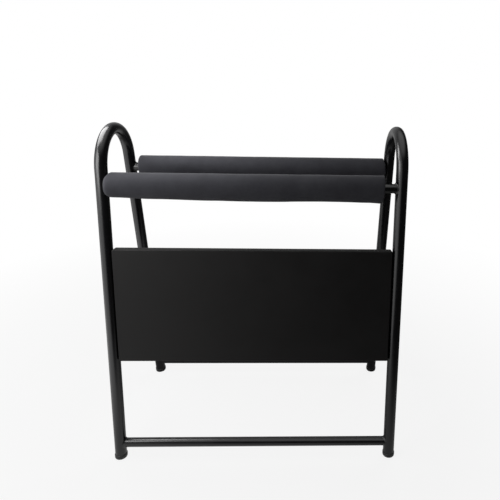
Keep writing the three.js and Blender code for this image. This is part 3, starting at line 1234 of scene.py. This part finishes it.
@dataclass
class Fixings(SubAssembly):
    """What holds the board: tabs welded to the front legs, washers, and pan-head screws from behind.

    The pan's arc gives its two angles in degrees and its steps. Its centre lies a share of the head's height
    below the top, which is flat over a share of the head's radius. Each screw is driven further round than
    the one before by the screw turn, in radians. A bead is sunk into its tab by a share of its own radius.
    """

    zinc: Material
    plate_ease: float = 0.35 * MM
    washer_ease: float = 0.2 * MM
    ease_steps: int = 3
    sharp_deg: float = 50
    flat_deg: float = 1
    head_radius: float = 4 * MM
    head_height: float = 2.4 * MM
    pan_arc: tuple[float, float, int] = (12, 75, 7)
    pan_centre: float = 2 / 3
    pan_flat: float = 1 / 3
    shank_radius: float = 1.85 * MM
    recess_width: float = 0.9 * MM
    recess_length: float = 4.2 * MM
    recess_depth: float = 1.4 * MM
    recess_taper: float = 0.45
    screw_turn: float = 1.1
    bead_radius: float = 1.7 * MM
    bead_inset: float = 2.5 * MM
    bead_ripple: float = 1.6 * MM
    bead_sunk: float = 1 / 3
    ripple_share: float = 0.07
    ripple_steps: int = 6
    end_share: float = 0.25
    bead_sides: int = 20
    crease_deg: float = 60
    segments: int = 40

    @staticmethod
    def names() -> list[str]:
        """Places of the four fixings, as in their nodes' names."""
        return [f"{level}_{side.word}" for level in ("upper", "lower") for side in Side]

    def build(self) -> None:
        """Makes and dresses tabs, their welds, washers and screws."""
        pattern = self.screw_pattern()
        for number, name in enumerate(self.names()):
            tab = self.softened(f"board_tab_{name}", f"tab_{name}", self.plate_ease)
            dress(tab, Slot.POWDER_COAT, [self.finish], f"board_tab_{name}")
            washer = self.softened(f"board_washer_{name}", f"washer_{name}", self.washer_ease)
            dress(washer, Slot.ZINC, [self.zinc], f"board_washer_{name}")
            dress(self.screw(pattern, name, number), Slot.ZINC, [self.zinc], f"board_screw_{name}")
            dress(self.tab_bead(name), Slot.POWDER_COAT, [self.finish])
        bpy.data.objects.remove(pattern)

    def softened(self, node: str, name: str, ease: float) -> Piece:
        """Copies a node, joins its loose triangles and eases its sharp edges.

        Args:
            node: the node that has the right shape.
            name: the new piece's name.
            ease: width of the eased edges.

        Returns:
            The piece.
        """
        piece = copy_of(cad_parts[node], name)
        with editing(piece):
            bpy.ops.mesh.remove_doubles(threshold=HAIR)
            bpy.ops.mesh.dissolve_limited(angle_limit=math.radians(self.flat_deg))
            face_outwards()
        edges = {"limit_method": "ANGLE", "angle_limit": math.radians(self.sharp_deg)}
        apply_modifier(piece, "BEVEL", width=ease, segments=self.ease_steps, **edges)
        smooth(piece)
        return piece

    def screw_pattern(self) -> Piece:
        """Turns one screw with its head's top at the origin and cuts its cross recess.

        Returns:
            The screw, pointing down.
        """
        length = self.lines.extent("board_screw_upper_left", Face.FRONT).size.y
        head, pan, shank = self.head_radius, self.head_radius / 2, self.shank_radius
        profile = [
            (0, -length),
            (shank, 2 * shank - length),
            (shank, -self.head_height),
            (head - self.washer_ease, -self.head_height),
            (head, self.washer_ease - self.head_height),
            *rounded((pan, -self.head_height * self.pan_centre), pan, *self.pan_arc),
            (head * self.pan_flat, 0),
            (0, 0),
        ]
        screw = turned("screw_pattern", profile, self.segments)
        cut_away(screw, [self.recess(turn) for turn in (0, math.pi / 2)])
        smooth(screw)
        return screw

    def recess(self, turn: float) -> Piece:
        """One wing of the cross recess, narrower at its foot.

        Args:
            turn: its angle round the screw.

        Returns:
            The wing, standing in the screw's head.
        """
        start_clean()
        room = (self.recess_length, self.recess_width, 2 * self.recess_depth)
        bpy.ops.mesh.primitive_cube_add(size=1, scale=room, rotation=(0, 0, turn))
        wing = named("recess")
        with editing(wing):
            pick(wing, Part.POINT, lambda point: point.co.z < 0)
            narrow = (self.recess_taper, self.recess_taper, 1)
            bpy.ops.transform.resize(value=narrow, center_override=(0, 0, -self.recess_depth))
        return wing

    def screw(self, pattern: Piece, name: str, number: int) -> Piece:
        """Sets a copy of the screw in its hole, each driven home at its own angle.

        Args:
            pattern: the screw to copy.
            name: its place.
            number: its number, which gives the angle.

        Returns:
            The screw.
        """
        room = self.lines.extent(f"board_screw_{name}", Face.FRONT)
        piece = copy_of(pattern, f"screw_{name}")
        top = Vector((room.centre.x, room.high.y, room.centre.z))
        lie = Matrix.Rotation(-math.pi / 2, 4, "X") @ Matrix.Rotation(number * self.screw_turn, 4, "Z")
        return place(piece, self.lines.plane(Face.FRONT) @ Matrix.Translation(top) @ lie)

    def tab_bead(self, name: str) -> Piece:
        """Lays the short rippled bead that joins a tab's back to its leg.

        Args:
            name: the tab's place.

        Returns:
            The bead.
        """
        tab = self.lines.extent(f"board_tab_{name}", Face.FRONT)
        half = tab.size.z / 2 - self.bead_inset
        steps = self.ripple_steps * round(2 * half / self.bead_ripple)
        profile = [(0, -half)]
        for step in range(1, steps):
            share = step / steps
            ripple = 1 + self.ripple_share * math.sin(math.tau * (share * 2 * half) / self.bead_ripple)
            taper = min(1, share / self.end_share, (1 - share) / self.end_share) ** 0.5
            profile.append((self.bead_radius * ripple * taper, half * (2 * share - 1)))
        profile.append((0, half))
        piece = turned(f"tab_bead_{name}", profile, self.bead_sides)
        side = Side.LEFT if "left" in name else Side.RIGHT
        seam = self.lines.leg_axis(side) - side.value * self.bead_radius
        spot = Vector((seam, tab.high.y - self.bead_radius * self.bead_sunk, tab.centre.z))
        smooth(piece, self.crease_deg)
        return place(piece, self.lines.plane(Face.FRONT) @ Matrix.Translation(spot))


# Studio


@dataclass(frozen=True)
class Lamp:
    """One soft square lamp that the camera itself doesn't see."""

    name: str
    spot: Spot
    aim: Spot
    size: float
    watts: float
    shines: bool = True

    def hang(self) -> None:
        """Hangs the lamp so that it faces its aim. Glossy surfaces show it only if it shines."""
        start_clean()
        bpy.ops.object.light_add(type="AREA", location=self.spot)
        lamp = bpy.context.object
        lamp.name = self.name
        lamp.visible_camera = False
        lamp.visible_glossy = self.shines
        lamp.data.size = self.size
        lamp.data.energy = self.watts
        lamp.rotation_euler = (Vector(self.aim) - Vector(self.spot)).to_track_quat("-Z", "Y").to_euler()


@dataclass(frozen=True)
class Patch:
    """One bright patch of the room that reflections show, with a soft edge.

    Its span gives the cosines from its own direction where it begins and where it is at its full white.
    """

    way: Spot
    span: Pair
    white: float


@dataclass
class Studio:
    """Plain pale floor, white surroundings, two soft lamps at the left end and a broad one far behind.

    A reach gives the two distances or places on the floor between which it changes. Close to the stand,
    glossy surfaces see painted light on the floor, at the brightness of its near ends and brighter at the
    left one, and painted shade towards the stand's rear.
    """

    floor_size: float = 60.0
    floor_colour: str = "#BCBCBC"
    shadow_reach: Pair = (0.35, 1.1)
    shadow_share: float = 0.13
    # painted light and painted shade that reflections see on the floor close to the stand
    near_reach: Pair = (0.3, 0.6)
    painted_light_ends: Pair = (0.85, 0.4)
    shade_reach: Pair = (-0.13, 0.0)
    painted_shade_share: float = 0.25
    room_light: float = 0.04
    dark_side: float = 0.05
    window: Patch = Patch((-0.88, -0.47, 0.0), (0.6, 0.85), 1.4)
    far_window: Patch = Patch((-0.42, 0.88, 0.22), (0.7, 0.95), 0.5)
    ceiling: Patch = Patch((0.0, 0.0, 1.0), (0.6, 0.92), 1.3)
    lamps: tuple[Lamp, ...] = (
        Lamp("above_left_end", (-0.36, 0.03, 0.77), (-0.18, 0.02, 0.5), size=0.3, watts=2.6),
        Lamp("before_left_end", (-0.48, -0.35, 0.6), (-0.12, -0.06, 0.33), size=0.35, watts=2.3),
        Lamp("far_wall", (0.95, 1.1, 0.5), (0.05, 0.0, 0.3), size=1.2, watts=20, shines=False),
    )

    def build(self) -> None:
        """Sets up floor, surroundings and lamps."""
        self.lay_floor()
        self.light_room()
        for lamp in self.lamps:
            lamp.hang()

    def mirrored(self, tree: Tree, way: Socket) -> Socket:
        """Brightness that reflections see: a window at the left, another far behind, and a pale ceiling.

        Args:
            tree: the tree of the floor or of the surroundings.
            way: the direction looked in.

        Returns:
            The brightness, where 1 is white.
        """
        white: Socket | float = self.dark_side
        for patch in (self.window, self.far_window, self.ceiling):
            lean = add_node(tree, "ShaderNodeVectorMath", {0: way, 1: patch.way}, operation="DOT_PRODUCT")
            spread = (lean.outputs["Value"], *patch.span, self.dark_side, patch.white)
            seen = add_node(tree, "ShaderNodeMapRange", dict(zip(RANGE_INPUTS, spread))).outputs["Result"]
            white = add_node(tree, "ShaderNodeMath", {0: seen, 1: white}, operation="MAXIMUM").outputs[0]
        return white

    def lay_floor(self) -> None:
        """Lays the floor: white to the camera where no shadow falls, and pale in reflections, where it glows
        with painted light brighter towards the left end, painted shade under the stand and the room's
        patches far out.
        """
        start_clean()
        bpy.ops.mesh.primitive_plane_add(size=self.floor_size)
        floor = named("floor")
        material = bpy.data.materials.new("pale_floor")
        tree = emptied(material)
        rays = add_node(tree, "ShaderNodeLightPath").outputs
        matt = add_node(tree, "ShaderNodeBsdfDiffuse", {"Color": linear(self.floor_colour)}).outputs[0]
        spot = add_node(tree, "ShaderNodeTexCoord").outputs["Object"]
        apart = add_node(tree, "ShaderNodeSeparateXYZ", {"Vector": spot}).outputs
        reach = add_node(tree, "ShaderNodeVectorMath", {0: spot}, operation="LENGTH").outputs["Value"]
        way = add_node(tree, "ShaderNodeVectorMath", {0: spot}, operation="NORMALIZE").outputs["Vector"]
        end = self.near_reach[0]
        # painted light and shade on the floor for glossy rays: brighter towards the left end, darker under
        # the stand
        spreads = (
            (reach, *self.near_reach, 0.0, 1.0),
            (apart["X"], -end, end, *self.painted_light_ends),
            (apart["Y"], *self.shade_reach, 1.0, self.painted_shade_share),
            (reach, *self.shadow_reach, 1 - self.shadow_share, 1.0),
        )
        far, across, shade, white = (
            add_node(tree, "ShaderNodeMapRange", dict(zip(RANGE_INPUTS, spread))).outputs["Result"]
            for spread in spreads
        )
        near = add_node(tree, "ShaderNodeMath", {0: across, 1: shade}, operation="MULTIPLY").outputs[0]
        beyond = {"Factor": far, "A": near, "B": self.mirrored(tree, way)}
        gloss = add_node(tree, "ShaderNodeMix", beyond).outputs["Result"]
        whole = {"Factor": rays["Is Glossy Ray"], "A": 1.0, "B": gloss}
        glare = add_node(tree, "ShaderNodeMix", whole).outputs["Result"]
        glow = add_node(tree, "ShaderNodeEmission", {"Strength": glare}).outputs[0]
        lit = {0: rays["Is Camera Ray"], 1: white}
        seen = add_node(tree, "ShaderNodeMath", lit, operation="MULTIPLY").outputs[0]
        either = {0: seen, 1: rays["Is Glossy Ray"]}
        share = add_node(tree, "ShaderNodeMath", either, operation="MAXIMUM").outputs[0]
        mixed = add_node(tree, "ShaderNodeMixShader", {0: share, 1: matt, 2: glow}).outputs[0]
        add_node(tree, "ShaderNodeOutputMaterial", {"Surface": mixed})
        floor.data.materials.append(material)

    def light_room(self) -> None:
        """Lights from all round: faint on the stand itself, white to the camera, a room in reflections."""
        world = bpy.data.worlds.new("studio")
        bpy.context.scene.world = world
        tree = emptied(world)
        rays = add_node(tree, "ShaderNodeLightPath").outputs
        way = add_node(tree, "ShaderNodeTexCoord").outputs["Generated"]
        either = {0: rays["Is Glossy Ray"], 1: rays["Is Transmission Ray"]}
        seen = add_node(tree, "ShaderNodeMath", either, operation="MAXIMUM").outputs[0]
        room = {"Factor": seen, "A": self.room_light, "B": self.mirrored(tree, way)}
        reflected = add_node(tree, "ShaderNodeMix", room).outputs["Result"]
        whole = {"Factor": rays["Is Camera Ray"], "A": reflected, "B": 1.0}
        strength = add_node(tree, "ShaderNodeMix", whole).outputs["Result"]
        light = {"Color": (1, 1, 1, 1), "Strength": strength}
        surface = add_node(tree, "ShaderNodeBackground", light).outputs[0]
        add_node(tree, "ShaderNodeOutputWorld", {"Surface": surface})


@dataclass(frozen=True)
class PhotoCamera:
    """The photograph's camera, fitted to the edges of the stand. Its pixels are of a frame 500 wide."""

    frame_px: float = 500
    focal_px: float = 471.3
    centre_px: Pair = (319.95, 200.0)
    spot: Spot = (0.0795, -0.7708, 0.6748)
    yaw_deg: float = 1.993
    pitch_deg: float = 17.517
    roll_deg: float = 1.211
    sensor_mm: float = 36
    clip: Pair = (0.01, 100)

    def build(self) -> None:
        """Sets up the camera and makes it the scene's own."""
        start_clean()
        bpy.ops.object.camera_add()
        camera = bpy.context.object
        camera.name = "photo_camera"
        camera.matrix_world = Matrix.Translation(self.spot) @ self.turn().to_4x4()
        lens = camera.data
        lens.sensor_width = self.sensor_mm
        lens.lens = self.sensor_mm * self.focal_px / self.frame_px
        lens.shift_x = 0.5 - self.centre_px[0] / self.frame_px
        lens.shift_y = self.centre_px[1] / self.frame_px - 0.5
        lens.clip_start, lens.clip_end = self.clip
        bpy.context.scene.camera = camera

    def turn(self) -> Matrix:
        """Rotation of the camera from its yaw to the right, its pitch down and its roll.

        Returns:
            A 3 by 3 matrix.
        """
        yaw, pitch, roll = (math.radians(value) for value in (self.yaw_deg, self.pitch_deg, self.roll_deg))
        level = Matrix.Rotation(-yaw, 3, "Z") @ Matrix.Rotation(math.pi / 2 - pitch, 3, "X")
        return level @ Matrix.Rotation(roll, 3, "Z")


def main() -> None:
    """Builds the stand's pieces in order, then the studio and the camera."""
    logging.basicConfig(level=logging.INFO, format="%(name)s: %(message)s")
    lines = StandLines.from_frame()
    coat, zinc = PowderCoat().material(), ZincPlate().material()
    assemblies = (
        EndFrames(lines, coat),
        CrossTubes(lines, coat),
        WeldBeads(lines, coat),
        FootCaps(lines, CapPolyethylene().material()),
        FoamSleeves(lines, NitrileFoam().material()),
        FrontBoard(lines, BoardMelamine().material(), BoardEdging().material()),
        Fixings(lines, coat, zinc),
        Studio(),
        PhotoCamera(),
    )
    for assembly in assemblies:
        assembly.build()
    bpy.context.scene.view_settings.view_transform = "Standard"


if __name__ == "__main__":
    main()
